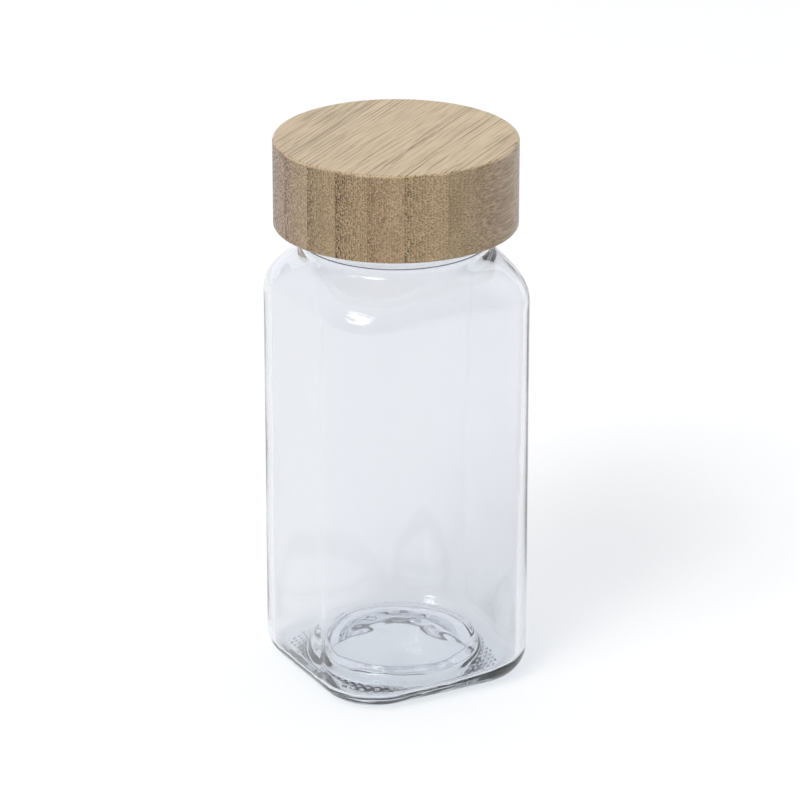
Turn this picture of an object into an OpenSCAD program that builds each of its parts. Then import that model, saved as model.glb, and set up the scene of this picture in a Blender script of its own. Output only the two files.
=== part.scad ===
// Square glass spice jar with a sprinkler fitment and a screw lid of laminated bamboo.
// Millimetres. The origin is the centre of the base, +Z is up and -Y is the front.

/* [Glass jar] */
// Width of the square body across its flat sides
jar_w = 46; // [42:0.5:50]
// Radius of the body's upright corners
corner_r = 12.5; // [11:0.5:14]
// Radius where the sides turn under to the base
heel_r = 6; // [4:0.5:6]
// Height at which the sides start to turn in to the shoulder
shoulder_z = 80; // [70:1:84]
// Height at which the shoulder ends and the neck's bead starts
neck_z = 93; // [91:0.5:94]
// Thickness of the side walls
wall = 1.8; // [1.6:0.1:2.2]
// Radius of the cavity's upright corners
inner_r = 10.9; // [10.5:0.1:11.2]
// Height of the cavity's floor at the foot of the walls
base_t = 2.8; // [2.2:0.1:3.2]
// Radius where the cavity's floor starts to rise to its pushed-up middle
floor_foot_r = 17.2; // [16.6:0.1:17.6]
// Height of the floor where that rise starts
floor_foot_z = 4.2; // [3.4:0.1:4.6]
// Radius at which the floor has risen
floor_top_r = 15.6; // [14.6:0.1:16]
// Height of the floor at that radius
floor_top_z = 6.4; // [5.6:0.1:6.8]
// How much higher the middle of the floor bows up
floor_dome = 2.4; // [1.6:0.1:2.4]
// Radius where the hollow under the base starts
punt_foot_r = 15.4; // [14.8:0.1:15.8]
// Radius at which that hollow has its depth
punt_top_r = 14; // [13.4:0.1:14.2]
// Depth of the hollow at that radius
punt_top_z = 2.4; // [1.6:0.1:2.8]
// How much deeper the hollow bows in the middle
punt_dome = 3.6; // [2.4:0.1:3.6]

/* [Neck and thread] */
// Radius of the neck where it rises out of the shoulder
neck_root_r = 19; // [18.6:0.1:19.2]
// Radius of the plain bead under the lid
bead_r = 19.25; // [19.2:0.05:20]
// Radius of the neck between the thread's turns
neck_r = 17.5; // [17.2:0.1:17.6]
// Radius of the mouth
bore_r = 15.2; // [14.5:0.1:15.6]
// Height of the glass rim
rim_z = 106.1; // [105:0.1:107]
// Rise of the thread in one turn, six turns to the inch
thread_pitch = 4.233; // [4.2:0.001:4.3]
// How far the thread stands out from the neck
thread_h = 1.2; // [0.8:0.1:1.2]

/* [Lid] */
// Diameter of the bamboo lid
lid_d = 49; // [48:0.2:52]
// Height of the bamboo lid from its lower to its upper face
lid_h = 18; // [17:0.2:20]
// Gap between the end of the shoulder and the lid's lower face
lid_gap = 3; // [2.8:0.1:5]
// Radius of the lid's upper edge
lid_edge_r = 0.7; // [0.5:0.1:2]
// Bevel of the lid's lower edge
lid_bevel = 0.4; // [0.2:0.1:0.8]
// Radius of the socket turned out of the lid for the threaded liner
socket_r = 21.2; // [21:0.1:21.4]
// Thickness of the bamboo over the socket
lid_roof = 4; // [3:0.1:5]
// Width of one bamboo strip
strip_w = 6.75; // [6.5:0.05:7.3]
// Place of the third seam, measured across the fibres from the lid's axis
seam_offset = -1.5; // [-2.5:0.1:-1]
// Direction of the bamboo's fibres, turned from +X about the lid's axis
fibre_angle = 36.5; // [0:0.5:180]

/* [Fittings] */
// Thickness of the threaded liner's wall
liner_wall = 2; // [1.8:0.1:2]
// Thickness of the threaded liner's roof
liner_roof = 1.4; // [1:0.1:1.6]
// Thickness of the sealing disc
seal_t = 1.4; // [1:0.1:1.4]
// Play above and below the sealing disc
seal_play = 0.05; // [0.02:0.01:0.1]
// Thickness of the sprinkler's flange and plate
sifter_t = 1; // [0.8:0.1:1.2]
// Depth of the sprinkler's plug below the rim
sifter_depth = 7; // [5:0.5:9]
// Diameter of a sprinkling hole
sifter_hole_d = 6; // [3:0.1:6.4]

/* [Hidden] */
$fn = 96;

glass_color = [0.90, 0.94, 0.97, 0.35];
plastic_color = [0.95, 0.95, 0.94];
seal_color = [0.98, 0.98, 0.97];
bamboo_colors = [[0.80, 0.72, 0.58], [0.76, 0.66, 0.52]];

corner_sides = 14;
heel_steps = 5;
shoulder_steps = 10;
inner_heel_r = 2.2;
inner_neck_z = neck_z - 1;
thread_z = 97.8;
thread_turns = 1.5;
thread_root_w = 2.2;
thread_crest_w = 1.1;
liner_thread_turns = 1.25;
liner_thread_root_w = 1.3;
liner_thread_crest_w = 0.7;
ridge_sides = 48;
ridge_bury = 0.4;

lid_z = neck_z + lid_gap;
lid_top_z = lid_z + lid_h;
socket_top_z = lid_top_z - lid_roof;
liner_r = socket_r - liner_wall;
liner_z = lid_z + 0.6;
liner_under_z = socket_top_z - liner_roof;
seal_z = rim_z + sifter_t + seal_play;
seal_r = liner_r - 0.3;
sifter_flange_r = neck_r - 0.2;
sifter_plug_r = bore_r - 0.25;
sifter_wall = 1.1;
sifter_plate_z = rim_z - 2;
sifter_ring_r = 9;
strip_count = 7;

function mix(a, b, share) = a + (b - a) * share;

// A level of the jar's skin is [width, corner radius, height].
function heel_levels(width, radius, turn, floor_z) = [
    for (i = [0:heel_steps])
        let (a = 90 * i / heel_steps, inset = turn * (1 - sin(a)))
        [width - 2 * inset, max(radius - inset, 1), floor_z + turn * (1 - cos(a))]
];

// The shoulder turns in from the sides with a full curve and runs out hollow into the neck.
function shoulder_share(rise) = pow(1 - pow(rise, 3), 3);

function shoulder_levels(width, radius, end_r, start_z, end_z) = [
    for (i = [0:shoulder_steps])
        let (rise = i / shoulder_steps, share = shoulder_share(rise))
        [mix(2 * end_r, width, share), mix(end_r, radius, share), mix(start_z, end_z, rise)]
];

// Profile of a middle that is pushed up, from its foot in to the axis.
function push_up(foot_r, foot_z, top_r, top_z, dome) = concat(
    [for (i = [0:7])
        let (share = i / 8, eased = share * share * (3 - 2 * share))
        [mix(foot_r, top_r, share), mix(foot_z, top_z, eased)]],
    [for (i = [0:6])
        let (radius = top_r * (1 - i / 6))
        [radius, top_z + dome * (1 - pow(radius / top_r, 2))]]
);

// Points round a square with round corners, counter-clockwise from its +X side.
function level_ring(level) = let (
    radius = min(level[1], level[0] / 2 - 0.05),
    flat = level[0] / 2 - radius
) [
    for (quarter = [0:3])
        for (i = [0:corner_sides])
            let (a = 90 * (quarter + i / corner_sides), middle = 90 * quarter + 45)
            [flat * sign(cos(middle)) + radius * cos(a),
             flat * sign(sin(middle)) + radius * sin(a), level[2]]
];

// A closed skin through a stack of levels, lowest first.
module skin(levels) {
    count = 4 * (corner_sides + 1);
    top = count * (len(levels) - 1);
    sides = [
        for (i = [0:len(levels) - 2])
            for (k = [0:count - 1])
                let (a = count * i + k, b = count * i + (k + 1) % count)
                for (f = [[a, b + count, b], [a, a + count, b + count]])
                    f
    ];
    floor_face = [for (k = [0:count - 1]) k];
    roof_face = [for (k = [0:count - 1]) top + count - 1 - k];
    polyhedron(points = [for (level = levels) each level_ring(level)],
        faces = concat(sides, [floor_face, roof_face]), convexity = 6);
}

// A ridge that climbs round the axis as a right-hand thread, fading out at both ends.
module ridge(root_r, crest_r, root_w, crest_w, start_z, turns) {
    steps = round(turns * ridge_sides);
    lead = ridge_sides / 8;
    outward = crest_r > root_r;
    bury = outward ? -ridge_bury : ridge_bury;
    rings = [
        for (i = [0:steps])
            let (
                angle = 360 * i / ridge_sides,
                fade = max(0.1, min(1, i / lead, (steps - i) / lead)),
                z = start_z + thread_pitch * i / ridge_sides,
                crest = mix(root_r, crest_r, fade)
            )
            for (p = [[root_r + bury, -root_w / 2], [crest, -crest_w / 2],
                      [crest, crest_w / 2], [root_r + bury, root_w / 2]])
                [p[0] * cos(angle), p[0] * sin(angle), z + p[1]]
    ];
    sides = [
        for (i = [0:steps - 1])
            for (k = [0:3])
                let (a = 4 * i + k, b = 4 * i + (k + 1) % 4)
                for (f = [[a, b, b + 4], [a, b + 4, a + 4]])
                    outward ? f : [f[0], f[2], f[1]]
    ];
    last = 4 * steps;
    ends = outward
        ? [[3, 2, 1, 0], [last, last + 1, last + 2, last + 3]]
        : [[0, 1, 2, 3], [last + 3, last + 2, last + 1, last]];
    polyhedron(points = rings, faces = concat(sides, ends), convexity = 6);
}

module neck_outside() {
    rotate_extrude()
        polygon([
            [0, neck_z - 3],
            [neck_root_r - 0.4, neck_z - 3],
            [neck_root_r - 0.4, neck_z - 0.2],
            [bead_r, neck_z + 0.3],
            [bead_r, neck_z + 1.9],
            [bead_r - 0.4, neck_z + 2.4],
            [neck_r, neck_z + 3],
            [neck_r, rim_z - 0.8],
            [neck_r - 0.25, rim_z - 0.25],
            [neck_r - 0.8, rim_z],
            [0, rim_z]
        ]);
}

module jar_outside() {
    skin(concat(
        heel_levels(jar_w, corner_r, heel_r, 0),
        shoulder_levels(jar_w, corner_r, neck_root_r, shoulder_z, neck_z)
    ));
    neck_outside();
    ridge(neck_r, neck_r + thread_h, thread_root_w, thread_crest_w, thread_z, thread_turns);
}

module jar_cavity() {
    difference() {
        skin(concat(
            heel_levels(jar_w - 2 * wall, inner_r, inner_heel_r, base_t),
            shoulder_levels(jar_w - 2 * wall, inner_r, bore_r + 0.6, shoulder_z - 0.5, inner_neck_z)
        ));
        rotate_extrude()
            polygon(concat(
                [[0, base_t - 1], [floor_foot_r + 3, base_t - 1], [floor_foot_r + 3, base_t]],
                push_up(floor_foot_r, floor_foot_z, floor_top_r, floor_top_z, floor_dome)
            ));
    }
    translate([0, 0, inner_neck_z - 0.5])
        cylinder(r = bore_r, h = rim_z - inner_neck_z + 1);
}

module punt() {
    rotate_extrude()
        polygon(concat([[0, -1], [punt_foot_r, -1]],
            push_up(punt_foot_r, 0, punt_top_r, punt_top_z, punt_dome)));
}

module glass_jar() {
    color(glass_color)
        difference() {
            jar_outside();
            jar_cavity();
            punt();
        }
}

// One hole in the middle and six round it.
module sifter_holes() {
    for (k = [0:6])
        rotate(60 * k)
            translate([k == 0 ? 0 : sifter_ring_r, 0, sifter_plate_z - 1])
                cylinder(d = sifter_hole_d, h = sifter_t + 2, $fn = 48);
}

module sprinkler_plug() {
    color(plastic_color)
        difference() {
            rotate_extrude()
                polygon([
                    [0, sifter_plate_z],
                    [sifter_plug_r - sifter_wall, sifter_plate_z],
                    [sifter_plug_r - sifter_wall, rim_z - sifter_depth],
                    [sifter_plug_r - 0.3, rim_z - sifter_depth],
                    [sifter_plug_r, rim_z - sifter_depth + 0.6],
                    [sifter_plug_r, rim_z - 5],
                    [bore_r + 0.05, rim_z - 4.6],
                    [sifter_plug_r, rim_z - 4.2],
                    [sifter_plug_r, rim_z - 2.8],
                    [bore_r + 0.05, rim_z - 2.4],
                    [sifter_plug_r, rim_z - 2],
                    [sifter_plug_r, rim_z],
                    [sifter_flange_r, rim_z],
                    [sifter_flange_r, rim_z + sifter_t - 0.2],
                    [sifter_flange_r - 0.2, rim_z + sifter_t],
                    [sifter_plug_r - sifter_wall, rim_z + sifter_t],
                    [sifter_plug_r - sifter_wall, sifter_plate_z + sifter_t],
                    [0, sifter_plate_z + sifter_t]
                ]);
            sifter_holes();
        }
}

module seal_disc() {
    color(seal_color)
        translate([0, 0, seal_z])
            cylinder(r = seal_r, h = seal_t);
}

module threaded_liner() {
    color(plastic_color) {
        difference() {
            translate([0, 0, liner_z])
                cylinder(r = socket_r, h = socket_top_z - liner_z);
            translate([0, 0, liner_z - 1])
                cylinder(r = liner_r, h = liner_under_z - liner_z + 1);
        }
        ridge(liner_r, liner_r - thread_h, liner_thread_root_w, liner_thread_crest_w,
            thread_z + thread_pitch / 2, liner_thread_turns);
    }
}

// The lid as it is turned from the glued board, before it is told apart into strips.
module turned_lid() {
    rotate_extrude()
        difference() {
            union() {
                translate([0, lid_z + lid_bevel])
                    square([lid_d / 2, lid_h - lid_bevel - lid_edge_r]);
                translate([0, lid_z])
                    square([lid_d / 2 - lid_edge_r, lid_h]);
                polygon([[0, lid_z], [lid_d / 2 - lid_bevel, lid_z], [lid_d / 2, lid_z + lid_bevel],
                    [lid_d / 2, lid_z + 2], [0, lid_z + 2]]);
                translate([lid_d / 2 - lid_edge_r, lid_top_z - lid_edge_r])
                    circle(r = lid_edge_r, $fn = 32);
            }
            translate([-1, lid_z - 1])
                square([socket_r + 1, socket_top_z - lid_z + 1]);
            translate([-lid_d, 0])
                square([lid_d, lid_top_z + 10]);
        }
}

// Strip number 1 lies furthest back on the left, and the last one at the front on the right.
module bamboo_strip(number) {
    seam = seam_offset + (number - 3) * strip_w;
    near = number == 1 ? -lid_d : seam - strip_w;
    far = number == strip_count ? lid_d : seam;
    color(bamboo_colors[number % 2])
        intersection() {
            turned_lid();
            rotate(fibre_angle)
                translate([-lid_d, -far, lid_z - 1])
                    cube([2 * lid_d, far - near, lid_h + 2]);
        }
}

glass_jar();
sprinkler_plug();
seal_disc();
threaded_liner();
bamboo_strip(1);  // bamboo_strip_1
bamboo_strip(2);  // bamboo_strip_2
bamboo_strip(3);  // bamboo_strip_3
bamboo_strip(4);  // bamboo_strip_4
bamboo_strip(5);  // bamboo_strip_5
bamboo_strip(6);  // bamboo_strip_6
bamboo_strip(7);  // bamboo_strip_7
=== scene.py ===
"""A square glass spice jar with a sprinkler fitment and a screw lid of laminated bamboo."""

from __future__ import annotations

import logging
import math
from dataclasses import dataclass
from enum import Enum
from typing import Any, Sequence

import bmesh
import bpy
import numpy as np
from mathutils import Matrix, Vector, noise


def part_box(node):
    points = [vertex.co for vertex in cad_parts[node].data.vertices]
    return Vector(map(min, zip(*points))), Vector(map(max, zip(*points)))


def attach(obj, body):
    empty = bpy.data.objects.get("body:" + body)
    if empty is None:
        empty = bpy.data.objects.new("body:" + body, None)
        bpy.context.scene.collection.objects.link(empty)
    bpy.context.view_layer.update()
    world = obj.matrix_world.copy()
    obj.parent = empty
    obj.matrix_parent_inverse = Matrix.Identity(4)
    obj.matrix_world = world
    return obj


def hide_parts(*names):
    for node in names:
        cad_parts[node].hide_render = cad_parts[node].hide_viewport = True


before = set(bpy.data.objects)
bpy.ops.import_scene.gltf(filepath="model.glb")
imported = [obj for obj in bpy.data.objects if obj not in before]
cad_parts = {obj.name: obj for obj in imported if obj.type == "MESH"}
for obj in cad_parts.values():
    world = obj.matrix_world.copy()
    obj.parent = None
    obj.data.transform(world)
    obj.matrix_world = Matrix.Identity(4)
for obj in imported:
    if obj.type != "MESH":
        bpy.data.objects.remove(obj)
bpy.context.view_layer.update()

MM = 0.001
STIPPLE_SINK = 0.12
FULL_TURN = 2 * math.pi
log = logging.getLogger("spice_jar")

Point = tuple[float, float]


class Body(Enum):
    """The rigid bodies that the pieces ride on."""

    JAR = "jar"
    SEAL = "seal"
    LID = "lid"


class Finish(Enum):
    """The record's material slots."""

    GLASS = "clear_glass"
    PLASTIC = "white_plastic"
    FOAM = "white_foam"
    BAMBOO = "bamboo"


def linear(hex_colour: str) -> tuple[float, float, float, float]:
    """Turns an sRGB hex colour into linear light.

    Args:
        hex_colour: Six hex digits, with or without a leading hash.

    Returns:
        Red, green, blue and an alpha of 1.
    """
    digits = hex_colour.lstrip("#")
    shares = [int(digits[i:i + 2], 16) / 255 for i in (0, 2, 4)]
    light = [c / 12.92 if c <= 0.04045 else ((c + 0.055) / 1.055) ** 2.4 for c in shares]
    return light[0], light[1], light[2], 1.0


def add_node(tree: bpy.types.NodeTree, kind: str, settings: dict[str, Any] | None = None,
             inputs: dict[Any, Any] | None = None) -> bpy.types.Node:
    """Adds a node with its settings, and sets or links its inputs.

    Args:
        tree: The node tree that gets the node.
        kind: Blender's name for the node's type.
        settings: Values of the node's own properties.
        inputs: A value, or a socket to link from, for each input named or numbered.

    Returns:
        The new node.
    """
    node = tree.nodes.new(kind)
    for key, value in (settings or {}).items():
        setattr(node, key, value)
    for key, value in (inputs or {}).items():
        socket = node.inputs[key]
        if isinstance(value, bpy.types.NodeSocket):
            tree.links.new(value, socket)
        else:
            socket.default_value = value
    return node


class Sums:
    """Short forms for the arithmetic of a node tree."""

    def __init__(self, tree: bpy.types.NodeTree) -> None:
        """Keeps the tree that the nodes go into."""
        self.tree = tree

    def do(self, operation: str, *terms: Any) -> bpy.types.NodeSocket:
        """Adds a Math node and returns its result."""
        inputs = dict(enumerate(terms))
        return add_node(self.tree, "ShaderNodeMath", {"operation": operation}, inputs).outputs[0]

    def ramp(self, value: Any, low: float, high: float, to_low: float = 0.0,
             to_high: float = 1.0) -> bpy.types.NodeSocket:
        """Eases a value from one range into another.

        Args:
            value: The socket to read.
            low: The value that gives to_low.
            high: The value that gives to_high.
            to_low: The result at and below low.
            to_high: The result at and above high.

        Returns:
            The eased value's socket.
        """
        inputs = {"Value": value, "From Min": low, "From Max": high, "To Min": to_low, "To Max": to_high}
        settings = {"interpolation_type": "SMOOTHSTEP"}
        return add_node(self.tree, "ShaderNodeMapRange", settings, inputs).outputs["Result"]

    def blend(self, share: Any, first: Any, second: Any, how: str = "MIX") -> bpy.types.NodeSocket:
        """Mixes two colours and returns the result."""
        settings = {"data_type": "RGBA", "blend_type": how}
        node = add_node(self.tree, "ShaderNodeMix", settings, {"Factor": share, 6: first, 7: second})
        return node.outputs[2]

    def join(self, x: Any, y: Any, z: Any) -> bpy.types.NodeSocket:
        """Joins three numbers into a vector."""
        return add_node(self.tree, "ShaderNodeCombineXYZ", None, {0: x, 1: y, 2: z}).outputs[0]

    def noise(self, vector: Any, detail: float = 2.0, rough: float = 0.5) -> bpy.types.NodeSocket:
        """Reads a noise of scale 1 at a vector."""
        inputs = {"Vector": vector, "Scale": 1.0, "Detail": detail, "Roughness": rough}
        return add_node(self.tree, "ShaderNodeTexNoise", None, inputs).outputs[0]


def new_material(name: str) -> tuple[bpy.types.Material, bpy.types.NodeTree, bpy.types.Node]:
    """Makes an empty material.

    Args:
        name: The material's name.

    Returns:
        The material, its node tree and its output node.
    """
    material = bpy.data.materials.new(name)
    material.use_nodes = True
    tree = material.node_tree
    tree.nodes.clear()
    return material, tree, add_node(tree, "ShaderNodeOutputMaterial")


@dataclass(frozen=True)
class SodaLimeGlass:
    """Pressed soda-lime container glass, fire-polished: clear and glossy, with a cold tint where it is thick."""

    ior: float = 1.52
    roughness: float = 0.0
    tint: str = "#f3f4f6"
    depth_tint: str = "#bcc9d8"
    absorption_per_m: float = 22.0
    room_light: str = "#feffff"
    lamp_light: str = "#e0e2e5"
    dish_mm: tuple[float, float] = (16.0, 9.5)

    def material(self) -> bpy.types.Material:
        """Builds the glass, which also lets room and lamp light through to what stands behind it."""
        material, tree, output = new_material("fire_polished_glass")
        glass = add_node(tree, "ShaderNodeBsdfPrincipled", None, {
            "Base Color": linear(self.tint), "Roughness": self.roughness, "IOR": self.ior,
            "Transmission Weight": 1.0})
        path = add_node(tree, "ShaderNodeLightPath")
        sums = Sums(tree)
        place = add_node(tree, "ShaderNodeTexCoord").outputs["Object"]
        radius, top = self.dish_mm
        away = add_node(tree, "ShaderNodeVectorMath", {"operation": "LENGTH"}, {0: add_node(
            tree, "ShaderNodeVectorMath", {"operation": "MULTIPLY"}, {0: place, 1: (1, 1, 0)}).outputs[0]})
        height = add_node(tree, "ShaderNodeSeparateXYZ", None, {0: place}).outputs[2]
        outside_dish = sums.do("MAXIMUM", sums.do("GREATER_THAN", away.outputs["Value"], radius * MM),
                               sums.do("GREATER_THAN", height, top * MM))
        shaded = sums.do("MULTIPLY", path.outputs["Is Shadow Ray"], outside_dish)
        let_through = sums.blend(shaded, linear(self.room_light), linear(self.lamp_light))
        lamp = add_node(tree, "ShaderNodeBsdfTransparent", None, {"Color": let_through})
        passing = add_node(tree, "ShaderNodeMath", {"operation": "MAXIMUM"}, {
            0: path.outputs["Is Shadow Ray"], 1: path.outputs["Is Diffuse Ray"]})
        mix = add_node(tree, "ShaderNodeMixShader", None, {
            0: passing.outputs[0], 1: glass.outputs[0], 2: lamp.outputs[0]})
        depth = add_node(tree, "ShaderNodeVolumeAbsorption", None, {
            "Color": linear(self.depth_tint), "Density": self.absorption_per_m})
        tree.links.new(mix.outputs[0], output.inputs["Surface"])
        tree.links.new(depth.outputs[0], output.inputs["Volume"])
        return material


@dataclass(frozen=True)
class MouldedPolypropylene:
    """Injection-moulded natural polypropylene: milky white, satin, with a faint flow texture."""

    colour: str = "#eeeeea"
    roughness: float = 0.38
    flow_mm: float = 2.5
    pit_mm: float = 0.25

    def material(self) -> bpy.types.Material:
        """Builds the plastic."""
        material, tree, output = new_material("moulded_polypropylene")
        sums = Sums(tree)
        place = add_node(tree, "ShaderNodeTexCoord").outputs["Object"]
        flow = sums.noise(scaled(tree, place, 1 / (self.flow_mm * MM)))
        pits = sums.noise(scaled(tree, place, 1 / (self.pit_mm * MM)))
        height = sums.do("ADD", sums.do("MULTIPLY", flow, 0.7), sums.do("MULTIPLY", pits, 0.3))
        bump = add_node(tree, "ShaderNodeBump", None, {"Strength": 0.15, "Distance": 0.05 * MM, "Height": height})
        colour = sums.blend(flow, linear(self.colour), linear("#e6e6e1"))
        plastic = add_node(tree, "ShaderNodeBsdfPrincipled", None, {
            "Base Color": colour, "Roughness": sums.ramp(pits, 0.2, 0.8, self.roughness, self.roughness + 0.1),
            "IOR": 1.49, "Subsurface Weight": 0.25, "Subsurface Scale": 1.2 * MM, "Normal": bump.outputs[0]})
        tree.links.new(plastic.outputs[0], output.inputs["Surface"])
        return material


@dataclass(frozen=True)
class FoamedPolyethylene:
    """Closed-cell polyethylene foam sheet, skived: matt white, with fine cells."""

    colour: str = "#f4f4f1"
    cell_mm: float = 0.35

    def material(self) -> bpy.types.Material:
        """Builds the foam."""
        material, tree, output = new_material("polyethylene_foam")
        sums = Sums(tree)
        place = add_node(tree, "ShaderNodeTexCoord").outputs["Object"]
        cells = add_node(tree, "ShaderNodeTexVoronoi", {"feature": "F1"}, {
            "Vector": scaled(tree, place, 1 / (self.cell_mm * MM)), "Scale": 1.0}).outputs["Distance"]
        bump = add_node(tree, "ShaderNodeBump", None, {"Strength": 0.4, "Distance": 0.06 * MM, "Height": cells})
        colour = sums.blend(cells, linear("#e9e9e5"), linear(self.colour))
        foam = add_node(tree, "ShaderNodeBsdfPrincipled", None, {
            "Base Color": colour, "Roughness": 0.75, "Normal": bump.outputs[0]})
        tree.links.new(foam.outputs[0], output.inputs["Surface"])
        return material


def scaled(tree: bpy.types.NodeTree, vector: Any, factor: float) -> bpy.types.NodeSocket:
    """Scales a vector.

    Args:
        tree: The node tree.
        vector: The vector's socket.
        factor: What every part is multiplied by.

    Returns:
        The scaled vector's socket.
    """
    node = add_node(tree, "ShaderNodeVectorMath", {"operation": "SCALE"}, {0: vector, "Scale": factor})
    return node.outputs[0]


@dataclass(frozen=True)
class TurnedBamboo:
    """Laminated bamboo, turned and sanded: strips of long fibres whose bundles show as dots on the end grain.

    Each strip is dense with dark bundles on the side that was the culm's skin, and pale on the other. The colour also
    carries painted light: a paler top, painted shade on the sides that run along the fibres, and a painted highlight
    along the rounded top edge.
    """

    fibre_angle: float = 36.5
    strip_mm: float = 6.75
    seam_mm: float = -1.5
    bundle_mm: float = 0.46
    hair_mm: float = 0.3
    hair_length_mm: float = 14.0
    sway_mm: float = 1.1
    tones: tuple[tuple[str, float], ...] = (
        ("#927a68", 1.6), ("#98806a", 1.0), ("#8e7857", 0.9), ("#977d5b", 1.08), ("#9a7d5c", 0.7),
        ("#a38b66", 0.76), ("#95825d", 0.3))
    light: str = "#bea883"
    # Painted highlight: the pale colour laid along the rounded top edge.
    rim_highlight: str = "#d2bd98"
    shadow: str = "#7a6342"
    bundle: str = "#2e1e0e"
    long_bundle: str = "#5a3d20"
    # Painted shade: the darker colour given to the sides that run along the fibres.
    side_shade_tint: str = "#84695a"
    glue: str = "#735c3b"
    roughness: float = 0.36

    def material(self) -> bpy.types.Material:
        """Builds the bamboo as one solid pattern that runs through every strip."""
        material, tree, output = new_material("turned_bamboo")
        sums = Sums(tree)
        coordinates = add_node(tree, "ShaderNodeTexCoord")
        place = coordinates.outputs["Object"]
        turn = add_node(tree, "ShaderNodeMapping", {"vector_type": "POINT"}, {
            "Vector": place, "Rotation": (0, 0, -math.radians(self.fibre_angle)), "Scale": (1 / MM,) * 3})
        axes = add_node(tree, "ShaderNodeSeparateXYZ", None, {0: turn.outputs[0]})
        along, height = axes.outputs[0], axes.outputs[2]
        across = sums.do("MULTIPLY", axes.outputs[1], -1.0)

        strips = sums.do("DIVIDE", sums.do("SUBTRACT", across, self.seam_mm), self.strip_mm)
        number = sums.do("FLOOR", strips)
        depth = sums.do("FRACT", strips)
        share = sums.do("DIVIDE", sums.do("ADD", number, 3.5), len(self.tones))
        tone = add_node(tree, "ShaderNodeValToRGB", None, {0: share})
        tone.color_ramp.interpolation = "CONSTANT"
        for i, (colour, pores) in enumerate(self.tones):
            stops = tone.color_ramp.elements
            stop = stops[i] if i < 2 else stops.new(i / len(self.tones))
            stop.position = i / len(self.tones)
            stop.color = (*linear(colour)[:3], pores)

        shift = sums.do("MULTIPLY", number, 13.7)
        slow = sums.noise(sums.join(sums.do("DIVIDE", along, 24.0), sums.do("DIVIDE", across, 6.0),
                                    sums.do("ADD", sums.do("DIVIDE", height, 6.0), shift)), 3.0)
        swing = sums.do("MULTIPLY", sums.do("SUBTRACT", slow, 0.5), self.sway_mm)
        v = sums.do("ADD", across, sums.do("MULTIPLY", swing, 0.25))
        w = sums.do("ADD", sums.do("ADD", height, shift), swing)
        column = sums.do("DIVIDE", v, self.bundle_mm)
        row = sums.do("ADD", sums.do("DIVIDE", w, self.bundle_mm), sums.do("MULTIPLY", column, 0.5))
        cell = sums.join(column, row, 0.0)
        bundles = add_node(tree, "ShaderNodeTexVoronoi", {"voronoi_dimensions": "2D", "feature": "F1"}, {
            "Vector": cell, "Scale": 1.0, "Randomness": 0.55})
        luck = add_node(tree, "ShaderNodeSeparateColor", None, {0: bundles.outputs["Color"]})
        up = add_node(tree, "ShaderNodeSeparateXYZ", None, {0: coordinates.outputs["Normal"]}).outputs[2]
        top = sums.ramp(sums.do("ABSOLUTE", up), 0.3, 0.95)
        fibre = math.radians(self.fibre_angle)
        endwise = add_node(tree, "ShaderNodeVectorMath", {"operation": "DOT_PRODUCT"}, {
            0: coordinates.outputs["Normal"], 1: (math.cos(fibre), math.sin(fibre), 0.0)}).outputs["Value"]
        lengthwise = sums.ramp(sums.do("ABSOLUTE", endwise), 0.2, 0.75, 1.0, 0.0)
        reach = sums.do("SUBTRACT", sums.ramp(depth, 0.0, 0.8, 0.49, 0.42), sums.do("MULTIPLY", lengthwise, 0.14))
        dot = sums.ramp(sums.do("SUBTRACT", reach, bundles.outputs["Distance"]), -0.04, 0.14)
        strong = sums.do("ADD", sums.ramp(depth, 0.05, 0.3, 0.3, 0.0), sums.ramp(depth, 0.15, 0.95, 0.7, 0.55))
        many = sums.do("MULTIPLY", sums.do("MULTIPLY", strong, tone.outputs["Alpha"]),
                       sums.ramp(luck.outputs[0], 0.0, 1.0, 0.45, 1.0))
        few = sums.ramp(luck.outputs[0], 0.3, 0.8, 0.0, 0.75)
        dark = sums.do("MULTIPLY", dot, sums.do("ADD", sums.do("MULTIPLY", many, sums.do("SUBTRACT", 1.0, top)),
                                                sums.do("MULTIPLY", few, top)))

        hair = sums.noise(sums.join(sums.do("DIVIDE", along, self.hair_length_mm), sums.do("DIVIDE", v, self.hair_mm),
                                    sums.do("DIVIDE", w, self.hair_mm)), 3.0, 0.6)
        cloud = sums.noise(sums.join(sums.do("DIVIDE", along, 30.0), sums.do("DIVIDE", v, 1.8),
                                     sums.do("DIVIDE", w, 5.0)), 3.0, 0.55)

        ground = sums.blend(sums.ramp(depth, 0.1, 1.0, 0.0, 0.25), tone.outputs[0], linear(self.light))
        # Painted light: faces that point up are made up to three quarters paler, as if lit from above.
        ground = sums.blend(sums.ramp(top, 0.0, 1.0, 0.0, 0.75), ground, linear(self.light))
        ground = sums.blend(sums.ramp(cloud, 0.3, 0.7, 0.35, 0.0), ground, linear(self.light))
        # Painted shade: the sides that run along the fibres, away from the top, are darkened towards a browner tint;
        # the fibre streaks are also made stronger there.
        side_shade = sums.do("MULTIPLY", lengthwise, sums.do("SUBTRACT", 0.6, sums.do("MULTIPLY", top, 0.6)))
        ground = sums.blend(side_shade, ground, linear(self.side_shade_tint))
        ground = sums.blend(sums.ramp(hair, 0.34, 0.5, 0.45, 0.0), ground, linear("#ccb693"))
        streak = sums.do("MULTIPLY", sums.ramp(hair, 0.52, 0.64), sums.do("ADD", 0.65, sums.do("MULTIPLY", side_shade, 0.5)))
        ground = sums.blend(streak, ground, linear(self.shadow))
        fibre_end = sums.blend(top, linear(self.bundle), linear(self.long_bundle))
        ground = sums.blend(dark, ground, fibre_end)
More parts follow.
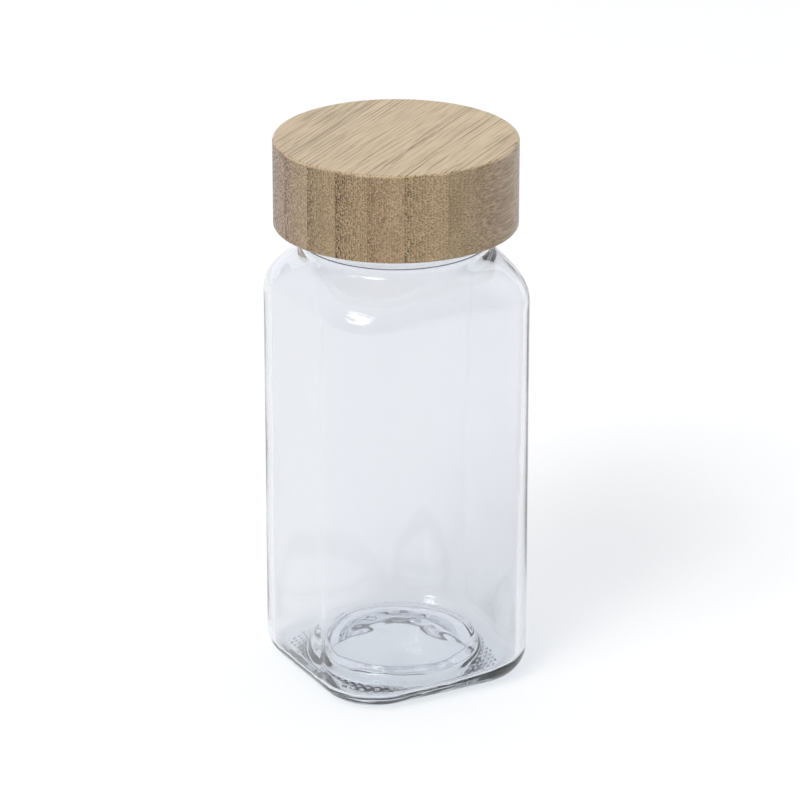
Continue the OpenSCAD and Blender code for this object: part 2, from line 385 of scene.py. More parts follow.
        # Painted highlight: a paler band along the rounded top edge, broken up by the slow noise.
        rim = sums.do("MULTIPLY", sums.ramp(up, 0.2, 0.6), sums.ramp(top, 0.7, 0.97, 0.6, 0.0))
        rim = sums.do("MULTIPLY", rim, sums.ramp(slow, 0.4, 0.6))
        ground = sums.blend(rim, ground, linear(self.rim_highlight))
        glue = sums.do("MULTIPLY", sums.ramp(depth, 0.0, 0.025, 1.0, 0.0), sums.ramp(top, 0.0, 1.0, 0.5, 0.15))
        colour = sums.blend(glue, ground, linear(self.glue))

        relief = sums.do("SUBTRACT", sums.do("MULTIPLY", hair, -0.35), sums.do("MULTIPLY", dot, 0.65))
        bump = add_node(tree, "ShaderNodeBump", None, {"Strength": 0.5, "Distance": 0.08 * MM, "Height": relief})
        wood = add_node(tree, "ShaderNodeBsdfPrincipled", None, {
            "Base Color": colour, "IOR": 1.5,
            "Roughness": sums.ramp(dark, 0.0, 1.0, self.roughness, self.roughness + 0.15),
            "Normal": bump.outputs[0]})
        tree.links.new(wood.outputs[0], output.inputs["Surface"])
        return material


def mesh_object(name: str, points: Sequence[Sequence[float]], faces: Sequence[Sequence[int]],
                material: bpy.types.Material) -> bpy.types.Object:
    """Makes a smooth-shaded mesh object in the scene.

    Args:
        name: The piece's name.
        points: The vertices, in metres.
        faces: Each face's vertices.
        material: The piece's finish.

    Returns:
        The object.
    """
    mesh = bpy.data.meshes.new(name)
    mesh.from_pydata(points, [], faces)
    mesh.polygons.foreach_set("use_smooth", [True] * len(mesh.polygons))
    mesh.materials.append(material)
    mesh.update()
    piece = bpy.data.objects.new(name, mesh)
    bpy.context.scene.collection.objects.link(piece)
    return piece


def arc(start: Point, end: Point, bulge_towards: Point, steps: int) -> list[Point]:
    """Follows a quarter ellipse between two points of a profile.

    Args:
        start: The first point, left out of the result.
        end: The last point, included.
        bulge_towards: The corner that the curve bends round.
        steps: How many points it gives.

    Returns:
        The points after start.
    """
    found = []
    for i in range(1, steps + 1):
        a = math.pi / 2 * i / steps
        s, c = math.sin(a), 1 - math.cos(a)
        x = start[0] + (bulge_towards[0] - start[0]) * s + (end[0] - bulge_towards[0]) * c
        z = start[1] + (bulge_towards[1] - start[1]) * s + (end[1] - bulge_towards[1]) * c
        found.append((x, z))
    return found


def line(start: Point, end: Point, steps: int) -> list[Point]:
    """Gives evenly spaced points from start, left out, to end, included."""
    return [(start[0] + (end[0] - start[0]) * i / steps, start[1] + (end[1] - start[1]) * i / steps)
            for i in range(1, steps + 1)]


@dataclass
class GlassJar:
    """The pressed glass body, built as one closed skin from under the base, over the rim and down inside."""

    columns: int = 288
    corner_r: float = 12.5
    heel_r: float = 6.0
    shoulder_z: float = 80.0
    neck_z: float = 93.0
    neck_root_r: float = 19.0
    wall: float = 1.8
    inner_corner_r: float = 10.9
    thin_corner_r: float = 9.6
    corner_lift: float = 0.7
    inner_heel_r: float = 2.2
    base_t: float = 2.8
    foot_z: float = 4.2
    punt: tuple[float, float, float, float] = (15.4, 14.0, 2.4, 3.6)
    floor: tuple[float, float, float, float] = (17.2, 15.6, 6.4, 2.4)
    bead_r: float = 19.25
    neck_r: float = 17.5
    bore_r: float = 15.2
    pitch: float = 4.233
    thread_z: float = 97.8
    thread_h: float = 1.2
    thread_turns: float = 1.5
    thread_half_w: float = 1.1
    wave: float = 0.05
    unevenness: float = 0.3
    fold_mm: float = 8.5
    dimple: float = 0.03
    dent_mm: tuple[float, float] = (6.0, 2.0)
    heel_dimple: float = 0.05
    heel_dent_mm: tuple[float, float] = (3.0, 0.7)

    def __post_init__(self) -> None:
        """Reads the body's width and height from the frame and spreads the columns round it."""
        low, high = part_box("glass_jar")
        self.half = (high[0] - low[0]) / 2 / MM
        self.rim_z = high[2] / MM
        self.angles = np.arange(self.columns) * FULL_TURN / self.columns
        self.radii: list[np.ndarray] = []
        self.heights: list[np.ndarray] = []

    def outline(self, half: float, corner: Any) -> np.ndarray:
        """Gives the distance from the axis to a round-cornered square, for each column.

        Args:
            half: Half the square's width.
            corner: Its corner radius.

        Returns:
            One distance for each column.
        """
        folded = np.abs((self.angles + math.pi / 4) % (math.pi / 2) - math.pi / 4)
        c, s = np.cos(folded), np.sin(folded)
        centre = half - corner
        middle = centre * (c + s)
        round_part = middle + np.sqrt(np.maximum(corner ** 2 - (centre * (c - s)) ** 2, 0))
        return np.where(half * s / c <= centre, half / c, round_part)

    def cavity_corner(self, height: float) -> np.ndarray:
        """Gives the cavity's corner radius for each column: one upright edge is thinner towards the shoulder."""
        rise = min(max((height - 12.0) / 60.0, 0.0), 1.0)
        thin = (self.angles > 1.5 * math.pi) & (self.angles < FULL_TURN)
        return np.where(thin, self.inner_corner_r + (self.thin_corner_r - self.inner_corner_r) * rise,
                        self.inner_corner_r)

    def add(self, radius: Any, height: Any) -> None:
        """Adds one ring of the skin, of a radius and a height for each column or for all."""
        self.radii.append(np.broadcast_to(np.asarray(radius, float), self.columns).copy())
        self.heights.append(np.broadcast_to(np.asarray(height, float), self.columns).copy())

    def ripple(self, radius: Any, height: Any, seed: float) -> np.ndarray:
        """Gives the slow unevenness of pressed glass, from -1 to 1, for each column."""
        a = self.angles
        z = np.asarray(height, float)
        r = np.asarray(radius, float)
        return (np.sin(2 * a + z / 13 + seed) + 0.7 * np.sin(5 * a - z / 9 + 2.1 * seed)
                + 0.5 * np.sin(3 * a + z / 5.3 + r / 3 + 4.7 * seed)) / 2.2

    def dents(self, height: float, size: Point) -> np.ndarray:
        """Gives shallow dents at a height, of a length and a depth in millimetres, from -1 to 1 for each column."""
        along, across = size
        spots = [Vector((self.half * math.cos(a) / along, self.half * math.sin(a) / along, height / across))
                 for a in self.angles]
        return np.array([noise.noise(spot) for spot in spots])

    def folds(self, radius: float, seed: float) -> np.ndarray:
        """Gives the folds that the cooled base keeps near its middle, from -1 to 1, for each column."""
        spots = [Vector((radius * math.cos(a) / self.fold_mm, radius * math.sin(a) / self.fold_mm, seed))
                 for a in self.angles]
        return np.array([noise.noise(spot) + 0.5 * noise.noise(spot * 2.3) for spot in spots])

    def push_up(self, shape: tuple[float, float, float, float], low: float, radius: float) -> float:
        """Gives the height of the pushed-up middle of the base.

        Args:
            shape: The radius where it starts to rise, the radius where it has risen, and the heights of its
                shoulder and of the dome on top.
            low: The height of the flat round it.
            radius: Where the height is wanted.

        Returns:
            The height.
        """
        outer, inner, shoulder, dome = shape
        rise = min(max((outer - radius) / (outer - inner), 0.0), 1.0)
        eased = rise * rise * (3 - 2 * rise)
        return low + (shoulder - low) * eased + dome * max(1 - (radius / inner) ** 2, 0.0)

    def under_base(self) -> None:
        """Adds the push-up and the flat that the jar stands on."""
        outer = self.punt[0]
        for i in range(1, 49):
            radius = outer * i / 48
            uneven = self.unevenness * self.folds(radius, 0.3) * (1 - (i / 48) ** 6)
            self.add(radius, self.push_up(self.punt, 0.0, radius) + np.maximum(uneven, -0.2) * (radius < outer - 1))
        flat = self.outline(self.half - self.heel_r, self.corner_r - self.heel_r)
        for share in (0.03, 0.2, 0.4, 0.6, 0.8, 0.97, 1.0):
            sink = STIPPLE_SINK if 0.03 < share < 0.97 else 0.0
            self.add(outer + (flat - outer) * share, sink)

    def outside(self) -> None:
        """Adds the heel, the sides and the shoulder."""
        steps = 34
        for i in range(1, steps + 1):
            a = math.pi / 2 * i / steps
            inset = self.heel_r * (1 - math.sin(a))
            z = self.heel_r * (1 - math.cos(a))
            dent = self.heel_dimple * math.sin(2 * a) * self.dents(z, self.heel_dent_mm)
            self.add(self.outline(self.half - inset, self.corner_r - inset) + dent, z)
        for i in range(1, 17):
            z = self.heel_r + (self.shoulder_z - self.heel_r) * i / 16
            sink = 0.05 * math.sin(math.pi * i / 16) * self.ripple(0, z, 0.4)
            self.add(self.outline(self.half, self.corner_r) + np.minimum(sink, 0), z)
        self.shoulder(self.half, self.corner_r, self.neck_root_r, self.shoulder_z, self.neck_z, 40, False)

    def shoulder(self, half: float, corner: Any, end_r: float, start_z: float, end_z: float, steps: int,
                 downwards: bool) -> None:
        """Adds a shoulder that turns from the square body to the round neck.

        Args:
            half: Half the body's width.
            corner: The body's corner radius.
            end_r: The radius where the shoulder meets the neck.
            start_z: Where the sides start to turn in.
            end_z: Where the shoulder ends.
            steps: How many rings it has.
            downwards: Whether the rings go from the neck to the sides.
        """
        order = range(steps, -1, -1) if downwards else range(1, steps + 1)
        for i in order:
            rise = i / steps
            share = (1 - rise ** 3) ** 3
            width = end_r + (half - end_r) * share
            radius = end_r + (corner - end_r) * share
            z = start_z + (end_z - start_z) * rise
            dent = 0.0 if downwards else self.dimple * math.sin(math.pi * rise) * self.dents(z, self.dent_mm)
            self.add(self.outline(width, np.minimum(radius, width - 0.001)) + dent, z)

    def neck(self) -> None:
        """Adds the bead, the thread and the fire-polished rim."""
        root, bead, neck = self.neck_root_r, self.bead_r, self.neck_r
        z = self.neck_z
        path = arc((root, z), (bead, z + 0.8), (root + 0.02, z + 0.5), 5)
        path += line((bead, z + 0.8), (bead, z + 1.7), 2)
        path += arc((bead, z + 1.7), (bead - 0.6, z + 2.4), (bead, z + 2.4), 5)
        path += arc((bead - 0.6, z + 2.4), (neck, z + 3.4), (neck, z + 2.4), 5)
        for radius, height in path:
            self.add(radius, height)
        top = self.rim_z - 0.8
        low = z + 3.4
        steps = 38
        for i in range(1, steps + 1):
            height = low + (top - low) * i / steps
            self.add(neck + self.thread(height), height)
        for radius, height in arc((neck, top), (neck - 0.8, self.rim_z), (neck, self.rim_z), 7):
            self.add(radius, height)
        self.add(self.bore_r + 0.7, self.rim_z)
        for radius, height in arc((self.bore_r + 0.7, self.rim_z), (self.bore_r, self.rim_z - 0.7),
                                  (self.bore_r, self.rim_z), 6):
            self.add(radius, height)

    def thread(self, height: float) -> np.ndarray:
        """Gives how far the thread stands out at a height, for each column."""
        out = np.zeros(self.columns)
        for turn in range(-1, 3):
            along = self.angles / FULL_TURN + turn
            middle = self.thread_z + self.pitch * along
            fade = np.clip(np.minimum(along, self.thread_turns - along) * 8, 0, 1)
            away = np.abs(height - middle) / self.thread_half_w
            ridge = 1 / (1 + np.exp((away - 0.72) * 14))
            out = np.maximum(out, self.thread_h * ridge * fade)
        return out

    def inside(self) -> None:
        """Adds the bore, the inner shoulder, the inner walls and the floor."""
        neck_end = self.neck_z - 1.0
        for i in range(1, 13):
            self.add(self.bore_r, self.rim_z - 0.7 + (neck_end + 0.4 - self.rim_z + 0.7) * i / 12)
        for radius, height in arc((self.bore_r, neck_end + 0.4), (self.bore_r + 0.5, neck_end),
                                  (self.bore_r, neck_end), 4):
            self.add(radius, height)
        half = self.half - self.wall
        low = self.shoulder_z - 0.5
        self.shoulder(half, self.cavity_corner(low), self.bore_r + 0.65, low, neck_end - 0.05, 26, True)
        turn = self.inner_heel_r
        thick = self.angles > 1.5 * math.pi
        base = self.base_t + self.corner_lift * np.where(thick, np.sin(2 * self.angles) ** 2, 0.0)
        foot = base + turn
        for i in range(1, 21):
            z = low + (foot - low) * i / 20
            swell = self.wave * math.sin(math.pi * i / 20) ** 0.5 * self.ripple(0, z, 1.9)
            self.add(self.outline(half, self.cavity_corner(float(z.min()))) + swell, z)
        corner = self.inner_corner_r
        for i in range(1, 13):
            a = math.pi / 2 * i / 12
            inset = turn * (1 - math.cos(a))
            self.add(self.outline(half - inset, corner - inset), base + turn * (1 - math.sin(a)))
        edge = self.outline(half - turn, corner - turn)
        outer = self.floor[0]
        for share in (0.2, 0.45, 0.7, 0.9, 1.0):
            self.add(edge + (outer - edge) * share, base + (self.foot_z - base) * share ** 2)
        for i in range(1, 44):
            radius = outer * (1 - i / 44)
            uneven = self.unevenness * self.folds(radius, 7.7) * (1 - (1 - i / 44) ** 6)
            self.add(radius, self.push_up(self.floor, self.foot_z, radius) + uneven)

    def build(self, material: bpy.types.Material) -> bpy.types.Object:
        """Builds the jar.

        Args:
            material: The glass.

        Returns:
            The jar's object, closed at both middles.
        """
        self.under_base()
        self.outside()
        self.neck()
        self.inside()
        r = np.array(self.radii)
        z = np.array(self.heights)
        x = r * np.cos(self.angles)
        y = r * np.sin(self.angles)
        points = np.stack([x, y, z], axis=-1).reshape(-1, 3) * MM
        rows, n = r.shape
        first = len(points)
        tops = [self.punt[2] + self.punt[3], self.floor[2] + self.floor[3]]
        poles = np.array([[0, 0, tops[0]], [0, 0, tops[1]]]) * MM
        faces = []
        for i in range(rows - 1):
            for j in range(n):
                k = (j + 1) % n
                faces.append((i * n + j, i * n + k, (i + 1) * n + k, (i + 1) * n + j))
        last = (rows - 1) * n
        faces += [(first, (j + 1) % n, j) for j in range(n)]
        faces += [(first + 1, last + j, last + (j + 1) % n) for j in range(n)]
        piece = mesh_object("jar_glass", np.concatenate([points, poles]).tolist(), faces, material)
        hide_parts("glass_jar")
        return piece



@dataclass
class BaseStipple:
    """Rows of short raised dashes on the corners of the base, which keep the polished glass off the table."""

    rows: int = 5
    around: int = 62
    first_r: float = 16.8
    row_step: float = 1.0
    dash: tuple[float, float, float] = (1.4, 0.7, 0.36)
    flat_half: float = 16.6
    flat_corner: float = 6.1

    def tree(self) -> bpy.types.NodeTree:
        """Builds the geometry nodes that lay the dashes out on staggered rings."""
        tree = bpy.data.node_groups.new("stipple_rows", "GeometryNodeTree")
        face = tree.interface
        for name, kind in (("Rows", "NodeSocketInt"), ("Around", "NodeSocketInt"), ("First Radius", "NodeSocketFloat"),
                           ("Row Step", "NodeSocketFloat"), ("Dash Size", "NodeSocketVector"),
                           ("Flat Half", "NodeSocketFloat"), ("Flat Corner", "NodeSocketFloat"),
                           ("Material", "NodeSocketMaterial")):
            face.new_socket(name, in_out="INPUT", socket_type=kind)
        face.new_socket("Geometry", in_out="OUTPUT", socket_type="NodeSocketGeometry")
        given = add_node(tree, "NodeGroupInput").outputs
        sums = Sums(tree)
        grid = add_node(tree, "GeometryNodeMeshGrid", None, {
            "Vertices X": given["Around"], "Vertices Y": given["Rows"]})
        index = add_node(tree, "GeometryNodeInputIndex").outputs[0]
        column = sums.do("FLOOR", sums.do("DIVIDE", sums.do("ADD", index, 0.5), given["Rows"]))
        row = sums.do("SUBTRACT", index, sums.do("MULTIPLY", column, given["Rows"]))
        radius = sums.do("ADD", given["First Radius"], sums.do("MULTIPLY", row, given["Row Step"]))
        stagger = sums.do("MULTIPLY", sums.do("MODULO", row, 2.0), 0.5)
        angle = sums.do("MULTIPLY", sums.do("ADD", column, stagger),
                        sums.do("DIVIDE", FULL_TURN, given["Around"]))
        x = sums.do("MULTIPLY", radius, sums.do("COSINE", angle))
        y = sums.do("MULTIPLY", radius, sums.do("SINE", angle))
        size = add_node(tree, "ShaderNodeSeparateXYZ", None, {0: given["Dash Size"]})
        place = sums.join(x, y, sums.do("MULTIPLY", size.outputs[2], 0.5))
        laid = add_node(tree, "GeometryNodeSetPosition", None, {
            "Geometry": grid.outputs["Mesh"], "Position": place})
        centre = sums.do("SUBTRACT", given["Flat Half"], given["Flat Corner"])
        over_x = sums.do("MAXIMUM", sums.do("SUBTRACT", sums.do("ABSOLUTE", x), centre), 0.0)
        over_y = sums.do("MAXIMUM", sums.do("SUBTRACT", sums.do("ABSOLUTE", y), centre), 0.0)
        over = sums.do("SQRT", sums.do("ADD", sums.do("MULTIPLY", over_x, over_x),
                                       sums.do("MULTIPLY", over_y, over_y)))
        outside = add_node(tree, "FunctionNodeCompare", {"data_type": "FLOAT", "operation": "GREATER_THAN"}, {
            0: over, 1: given["Flat Corner"]})
        turned = sums.join(0.0, 0.0, sums.do("ADD", angle, math.pi / 2))
        keep_angle = add_node(tree, "GeometryNodeCaptureAttribute", {"domain": "POINT"})
        keep_angle.capture_items.new("VECTOR", "Turn")
        tree.links.new(laid.outputs[0], keep_angle.inputs[0])
        tree.links.new(turned, keep_angle.inputs["Turn"])
        kept = add_node(tree, "GeometryNodeDeleteGeometry", {"domain": "POINT", "mode": "ALL"}, {
            "Geometry": keep_angle.outputs[0], "Selection": outside.outputs[0]})
        drop = add_node(tree, "GeometryNodeMeshUVSphere", None, {"Segments": 12, "Rings": 6, "Radius": 0.5})
        dashes = add_node(tree, "GeometryNodeInstanceOnPoints", None, {
            "Points": kept.outputs[0], "Instance": drop.outputs[0],
            "Rotation": keep_angle.outputs["Turn"], "Scale": given["Dash Size"]})
        real = add_node(tree, "GeometryNodeRealizeInstances", None, {0: dashes.outputs[0]})
        smooth = add_node(tree, "GeometryNodeSetShadeSmooth", None, {0: real.outputs[0]})
        dressed = add_node(tree, "GeometryNodeSetMaterial", None, {
            "Geometry": smooth.outputs[0], "Material": given["Material"]})
        add_node(tree, "NodeGroupOutput", None, {0: dressed.outputs[0]})
        return tree

    def build(self, material: bpy.types.Material) -> bpy.types.Object:
        """Builds the dashes as one mesh.

        Args:
            material: The glass.

        Returns:
            The object.
        """
        carrier = mesh_object("stipple_carrier", [], [], material)
        modifier = carrier.modifiers.new("rows", "NODES")
        modifier.node_group = self.tree()
        values = {"Rows": self.rows, "Around": self.around, "First Radius": self.first_r * MM,
                  "Row Step": self.row_step * MM, "Dash Size": [side * MM for side in self.dash],
                  "Flat Half": self.flat_half * MM, "Flat Corner": self.flat_corner * MM, "Material": material}
        for item in modifier.node_group.interface.items_tree:
            if item.in_out == "INPUT":
                modifier[item.identifier] = values[item.name]
        return baked("base_stipple", carrier, material)


def baked(name: str, carrier: bpy.types.Object, material: bpy.types.Material) -> bpy.types.Object:
    """Turns what an object's modifiers make into a plain mesh object, and removes the first object.

    Args:
        name: The new piece's name.
        carrier: The object with the modifiers.
        material: The piece's finish.

    Returns:
        The new object.
    """
    bpy.context.view_layer.update()
    graph = bpy.context.evaluated_depsgraph_get()
    mesh = bpy.data.meshes.new_from_object(carrier.evaluated_get(graph))
    mesh.name = name
    if not mesh.materials:
        mesh.materials.append(material)
    piece = bpy.data.objects.new(name, mesh)
    bpy.context.scene.collection.objects.link(piece)
    bpy.data.objects.remove(carrier)
    return piece


@dataclass
class BambooLid:
    """The lid: a board of glued bamboo strips, turned to a cup that the threaded liner is glued into."""

    columns: int = 240
    edge_r: float = 0.7
    bevel: float = 0.4
    roof: float = 4.0
    socket_r: float = 21.2
    fibre_angle: float = 36.5
    strip_w: float = 6.75
    seam: float = -1.5
    strips: int = 7

    def __post_init__(self) -> None:
        """Reads the lid's size from the frame."""
        boxes = [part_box(f"bamboo_strip_{i + 1}") for i in range(self.strips)]
        self.low_z = min(box[0][2] for box in boxes) / MM
        self.top_z = max(box[1][2] for box in boxes) / MM
        self.outer_r = max(box[1][0] for box in boxes) / MM
        self.outer_r = max(self.outer_r, max(box[1][1] for box in boxes) / MM)

    def profile(self) -> list[Point]:
        """Follows the cup's section from the middle of the top, out and round to the middle of the socket."""
        r, top, low = self.outer_r, self.top_z, self.low_z
        path = line((0, top), (r - self.edge_r, top), 14)
        path += arc((r - self.edge_r, top), (r, top - self.edge_r), (r, top), 8)
        path += line((r, top - self.edge_r), (r, low + self.bevel), 12)
        path += arc((r, low + self.bevel), (r - self.bevel, low), (r, low), 4)
        path += line((r - self.bevel, low), (self.socket_r, low), 3)
        path += line((self.socket_r, low), (self.socket_r, top - self.roof), 8)
        path += line((self.socket_r, top - self.roof), (0.5, top - self.roof), 10)
        return path

    def cup(self) -> bmesh.types.BMesh:
        """Turns the profile into a closed mesh."""
        shape = bmesh.new()
        rings = []
        for radius, z in self.profile():
            rings.append([shape.verts.new((radius * math.cos(a) * MM, radius * math.sin(a) * MM, z * MM))
                          for a in (FULL_TURN * j / self.columns for j in range(self.columns))])
        for upper, lower in zip(rings, rings[1:]):
            for j in range(self.columns):
                k = (j + 1) % self.columns
                shape.faces.new((upper[j], lower[j], lower[k], upper[k]))
        for ring, z in ((rings[0], self.top_z), (rings[-1], self.top_z - self.roof)):
            middle = shape.verts.new((0, 0, z * MM))
            for j in range(self.columns):
                k = (j + 1) % self.columns
                corners = (middle, ring[j], ring[k]) if ring is rings[0] else (middle, ring[k], ring[j])
                shape.faces.new(corners)
        return shape

    def build(self, material: bpy.types.Material) -> list[bpy.types.Object]:
        """Cuts the cup into its strips.

        Args:
            material: The bamboo.

        Returns:
            One object for each strip.
        """
        angle = math.radians(self.fibre_angle)
        across = Vector((math.sin(angle), -math.cos(angle), 0))
        pieces = []
        for i in range(self.strips):
            far = self.seam + (i - 2) * self.strip_w
            shape = self.cup()
            if i > 0:
                self.cut(shape, across * (far - self.strip_w) * MM, -across)
            if i < self.strips - 1:
                self.cut(shape, across * far * MM, across)
            name = f"strip_{i + 1}"
            mesh = bpy.data.meshes.new(name)
            shape.to_mesh(mesh)
            shape.free()
            mesh.materials.append(material)
            piece = bpy.data.objects.new(name, mesh)
            bpy.context.scene.collection.objects.link(piece)
            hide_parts(f"bamboo_strip_{i + 1}")
            pieces.append(piece)
        return pieces

    def cut(self, shape: bmesh.types.BMesh, place: Vector, away: Vector) -> None:
        """Cuts a mesh at a plane, removes what lies beyond it and closes the cut.

        Args:
            shape: The mesh.
            place: A point of the plane.
            away: The direction of the side that is removed.
        """
        geometry = shape.verts[:] + shape.edges[:] + shape.faces[:]
        found = bmesh.ops.bisect_plane(shape, geom=geometry, plane_co=place, plane_no=away, clear_outer=True)
        rim = [e for e in found["geom_cut"] if isinstance(e, bmesh.types.BMEdge)]
        filled = bmesh.ops.triangle_fill(shape, edges=rim, use_beauty=True, normal=away)
        caps = {f for f in filled["geom"] if isinstance(f, bmesh.types.BMFace)}
        for face in shape.faces:
            face.smooth = face not in caps and face.smooth


@dataclass
class SealDisc:
    """The foam disc that the rim presses on, with a faint ring where it has been pressed."""

    columns: int = 128
    edge: float = 0.25

    def build(self, material: bpy.types.Material) -> bpy.types.Object:
        """Builds the disc.

        Args:
            material: The foam.

        Returns:
            The object.
        """
        low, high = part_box("seal_disc")
        r, z0, z1 = high[0] / MM, low[2] / MM, high[2] / MM
        e = self.edge
        path = line((0.0, z0), (15.4, z0), 8)
        path += [(15.7, z0 + 0.06), (16.1, z0 + 0.12), (17.0, z0 + 0.12), (17.4, z0 + 0.06), (17.7, z0)]
        path += line((17.7, z0), (r - e, z0), 2)
        path += arc((r - e, z0), (r, z0 + e), (r, z0), 4)
        path += line((r, z0 + e), (r, z1 - e), 2)
        path += arc((r, z1 - e), (r - e, z1), (r, z1), 4)
        path += line((r - e, z1), (0.6, z1), 8)
        points = [(pr * math.cos(a) * MM, pr * math.sin(a) * MM, pz * MM)
                  for pr, pz in path for a in (FULL_TURN * j / self.columns for j in range(self.columns))]
        n = self.columns
        faces = [(i * n + j, i * n + (j + 1) % n, (i + 1) * n + (j + 1) % n, (i + 1) * n + j)
                 for i in range(len(path) - 1) for j in range(n)]
        first = len(points)
        points += [(0, 0, z0 * MM), (0, 0, z1 * MM)]
        last = (len(path) - 1) * n
        faces += [(first, (j + 1) % n, j) for j in range(n)]
        faces += [(first + 1, last + j, last + (j + 1) % n) for j in range(n)]
        piece = mesh_object("foam_seal", points, faces, material)
        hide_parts("seal_disc")
        return piece


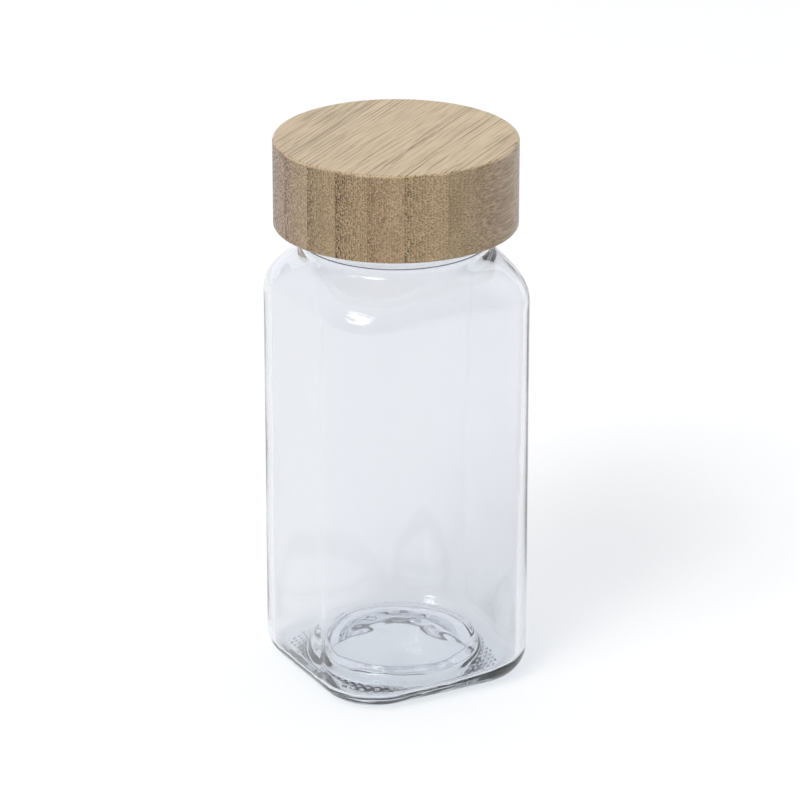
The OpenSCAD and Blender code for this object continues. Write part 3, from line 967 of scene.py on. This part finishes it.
@dataclass
class Studio:
    """A white table, soft light from the left and a long lens, as in the photograph."""

    turn: float = 28.104
    pitch: float = 21.755
    distance: float = 897.585
    aim: Point = (0.792, 57.849)
    focal_px: float = 4434.14
    image_px: float = 800.0
    sensor_mm: float = 36.0
    front_light: float = 0.39
    back_light: float = 1.08
    overhead_light: float = 0.24

    def camera(self) -> None:
        """Places the camera at the photograph's viewpoint."""
        e = math.radians(self.pitch)
        back = Matrix.Rotation(-math.radians(self.turn), 3, "Z")
        forward = Vector((0, math.cos(e), -math.sin(e)))
        up = Vector((0, math.sin(e), math.cos(e)))
        right = Vector((1, 0, 0))
        place = Vector((self.aim[0], 0, self.aim[1])) - forward * self.distance
        lens = bpy.data.cameras.new("camera")
        lens.sensor_width = self.sensor_mm
        lens.sensor_fit = "HORIZONTAL"
        lens.lens = self.sensor_mm * self.focal_px / self.image_px
        lens.clip_start = 0.01
        lens.clip_end = 50
        camera = bpy.data.objects.new("camera", lens)
        turned = Matrix((back @ right, back @ up, back @ -forward)).transposed()
        camera.matrix_world = Matrix.Translation(back @ place * MM) @ turned.to_4x4()
        bpy.context.scene.collection.objects.link(camera)
        bpy.context.scene.camera = camera

    def lamp(self, name: str, place: tuple[float, float, float], size: Point, watts: float,
             colour: str) -> None:
        """Adds a soft box that faces the jar.

        Args:
            name: The lamp's name.
            place: Where it stands, in metres, in the camera's own turn about the jar.
            size: Its width and height, in metres.
            watts: Its power.
            colour: Its colour.
        """
        data = bpy.data.lights.new(name, "AREA")
        data.shape = "RECTANGLE"
        data.size, data.size_y = size
        data.energy = watts
        data.color = linear(colour)[:3]
        self.soften(data)
        lamp = bpy.data.objects.new(name, data)
        spot = Matrix.Rotation(-math.radians(self.turn), 3, "Z") @ Vector(place)
        aim = (Vector((0, 0, 0.05)) - spot).to_track_quat("-Z", "Y")
        lamp.matrix_world = Matrix.Translation(spot) @ aim.to_matrix().to_4x4()
        bpy.context.scene.collection.objects.link(lamp)

    @staticmethod
    def soften(data: bpy.types.Light) -> None:
        """Fades a soft box towards its edges, so that its reflection in the glass has no hard outline."""
        data.use_nodes = True
        tree = data.node_tree
        tree.nodes.clear()
        sums = Sums(tree)
        spot = add_node(tree, "ShaderNodeNewGeometry").outputs["Parametric"]
        axes = add_node(tree, "ShaderNodeSeparateXYZ", None, {0: spot})
        across, up = (sums.do("MULTIPLY", axes.outputs[i], sums.do("SUBTRACT", 1.0, axes.outputs[i]))
                      for i in range(2))
        folds = sums.noise(sums.join(sums.do("MULTIPLY", axes.outputs[0], 2.2), sums.do("MULTIPLY", axes.outputs[1], 8.0),
                                     11.9), 1.0)
        level = sums.do("MULTIPLY", sums.do("MULTIPLY", across, up), sums.ramp(folds, 0.44, 0.56, 2.0, 76.0))
        light = add_node(tree, "ShaderNodeEmission", None, {"Strength": level})
        add_node(tree, "ShaderNodeOutputLight", None, {"Surface": light.outputs[0]})

    def world(self) -> None:
        """Makes the pale room round the table."""
        world = bpy.data.worlds.new("studio")
        bpy.context.scene.world = world
        world.use_nodes = True
        tree = world.node_tree
        tree.nodes.clear()
        sums = Sums(tree)
        place = add_node(tree, "ShaderNodeTexCoord").outputs["Generated"]
        axes = add_node(tree, "ShaderNodeSeparateXYZ", None, {0: place})
        away = Matrix.Rotation(-math.radians(self.turn), 3, "Z") @ Vector((0, 1, 0))
        facing = add_node(tree, "ShaderNodeVectorMath", {"operation": "DOT_PRODUCT"}, {0: place, 1: tuple(away)})
        level = sums.ramp(facing.outputs["Value"], -0.7, 0.6, self.front_light, self.back_light)
        level = sums.do("ADD", level, sums.ramp(axes.outputs[2], 0.3, 1.0, 0.0, self.overhead_light))
        light = add_node(tree, "ShaderNodeBackground", None, {"Color": linear("#fbfcff"), "Strength": level})
        add_node(tree, "ShaderNodeOutputWorld", None, {"Surface": light.outputs[0]})

    def table(self) -> None:
        """Lays the white table."""
        material, tree, output = new_material("white_paper")
        sums = Sums(tree)
        place = add_node(tree, "ShaderNodeTexCoord").outputs["Object"]
        grain = sums.noise(scaled(tree, place, 1 / (0.8 * MM)), 3.0)
        colour = sums.blend(grain, linear("#f1f1f1"), linear("#f6f6f6"))
        paper = add_node(tree, "ShaderNodeBsdfPrincipled", None, {
            "Base Color": colour, "Roughness": 0.9, "Specular IOR Level": 0.1})
        tree.links.new(paper.outputs[0], output.inputs["Surface"])
        half = 4.0
        table = mesh_object("table", [(-half, -half, 0), (half, -half, 0), (half, half, 0), (-half, half, 0)],
                            [(0, 1, 2, 3)], material)

    def build(self) -> None:
        """Builds the studio."""
        self.camera()
        self.world()
        self.table()
        self.lamp("window", (-1.55, -2.0, 2.75), (2.8, 2.3), 55.0, "#fffdfa")
        bpy.context.scene.view_settings.view_transform = "Standard"


def dress(node: str, material: bpy.types.Material) -> bpy.types.Object:
    """Gives a CAD node its finish.

    Args:
        node: The node's name.
        material: Its finish.

    Returns:
        The node's object.
    """
    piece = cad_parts[node]
    piece.data.materials.clear()
    piece.data.materials.append(material)
    return piece


def main() -> None:
    """Builds the jar, its fittings, its lid and the studio."""
    logging.basicConfig(level=logging.INFO, format="%(name)s: %(message)s")
    glass = SodaLimeGlass().material()
    plastic = MouldedPolypropylene().material()
    foam = FoamedPolyethylene().material()
    bamboo = TurnedBamboo().material()

    for piece in (GlassJar().build(glass), BaseStipple().build(glass)):
        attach(piece, Body.JAR.value)
        log.info("%s: %d faces", piece.name, len(piece.data.polygons))
    seal = SealDisc().build(foam)
    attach(seal, Body.SEAL.value)
    for strip in BambooLid().build(bamboo):
        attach(strip, Body.LID.value)
        log.info("%s: %d faces", strip.name, len(strip.data.polygons))
    for node in ("sprinkler_plug", "threaded_liner"):
        log.info("%s: %d faces", node, len(dress(node, plastic).data.polygons))
    Studio().build()


if __name__ == "__main__":
    main()
